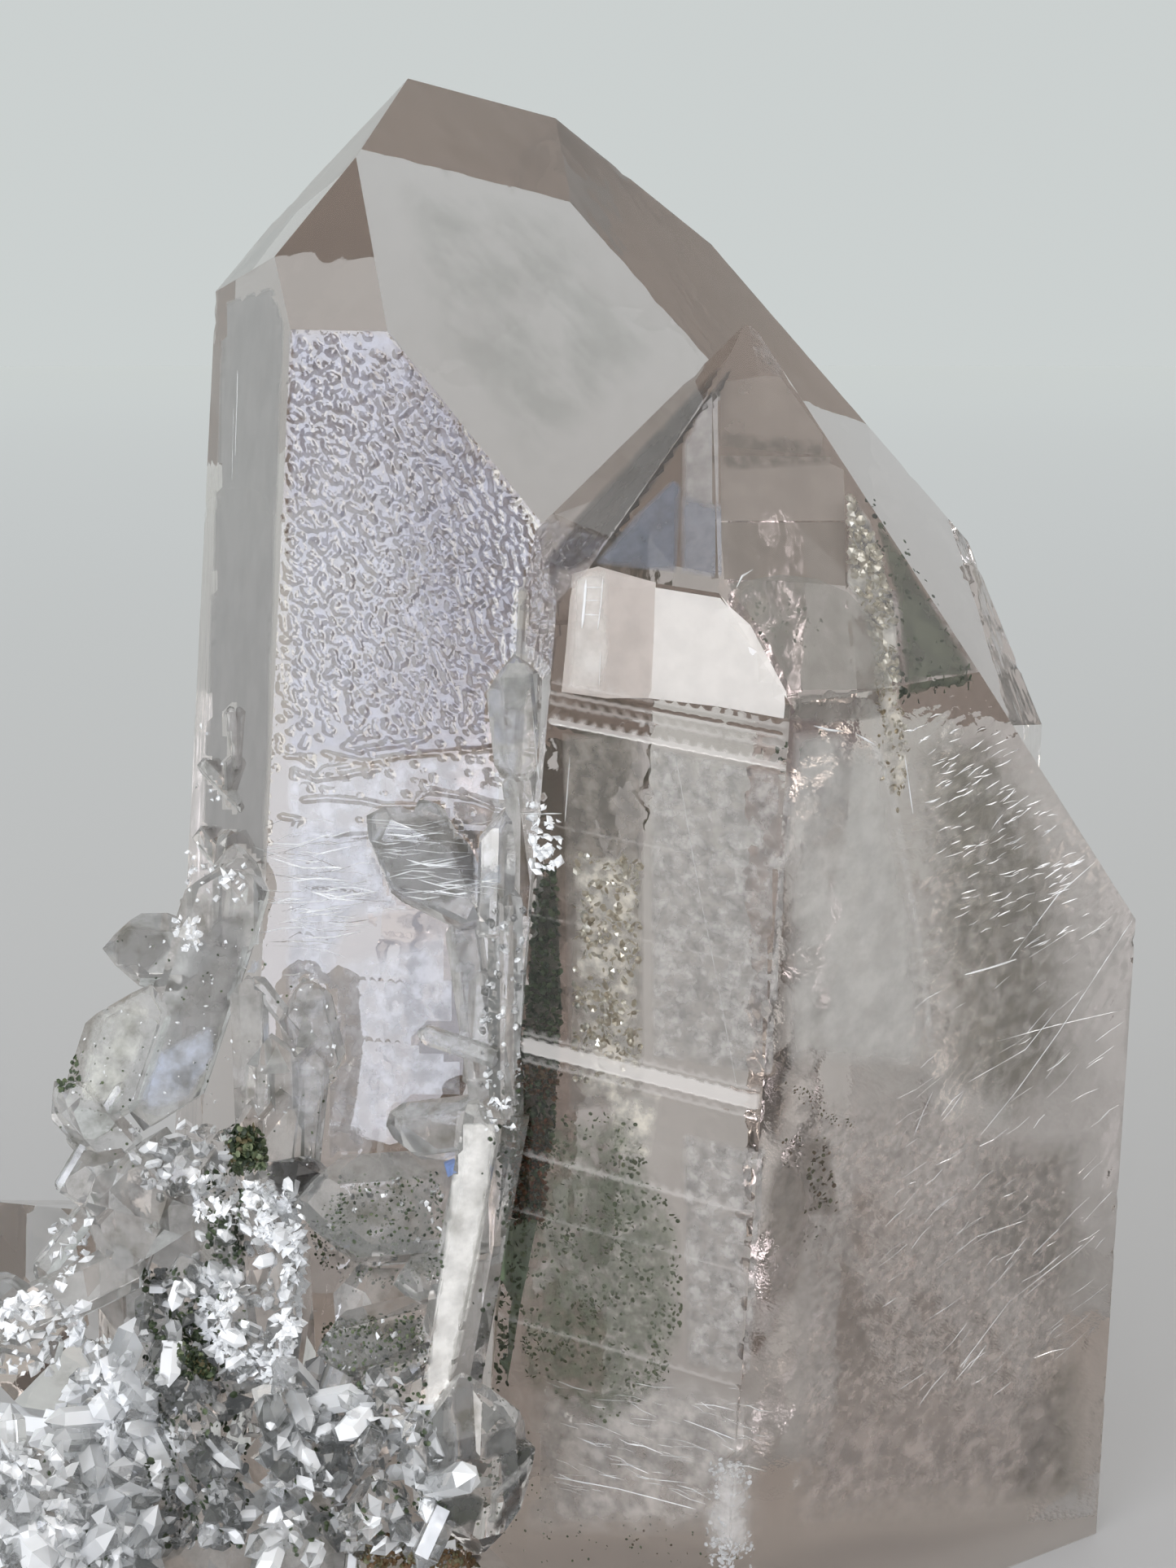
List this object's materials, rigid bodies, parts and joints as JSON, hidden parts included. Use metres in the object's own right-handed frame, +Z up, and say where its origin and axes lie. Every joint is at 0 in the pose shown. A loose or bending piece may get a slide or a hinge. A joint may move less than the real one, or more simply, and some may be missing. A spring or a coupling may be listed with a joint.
{
  "type": "quartz crystal cluster",
  "caption": "Cluster of clear quartz points with green chlorite inclusions, cut flat below so that it stands.",
  "frame": {"origin": "middle of the bounding box in X and Y, on the flat cut that the cluster rests on", "axes": "+Z up along the crystals, -Y toward the viewer of the picture, +X to the viewer's right"},
  "size_m": [0.089, 0.096, 0.1139],
  "materials": {
    "quartz": "polished",
    "chlorite": "matte"
  },
  "bodies": {
    "root": {"quartz_cluster": "quartz", "chlorite_tuft_upper": "chlorite", "chlorite_tuft_lower": "chlorite"}
  },
  "joints": []
}
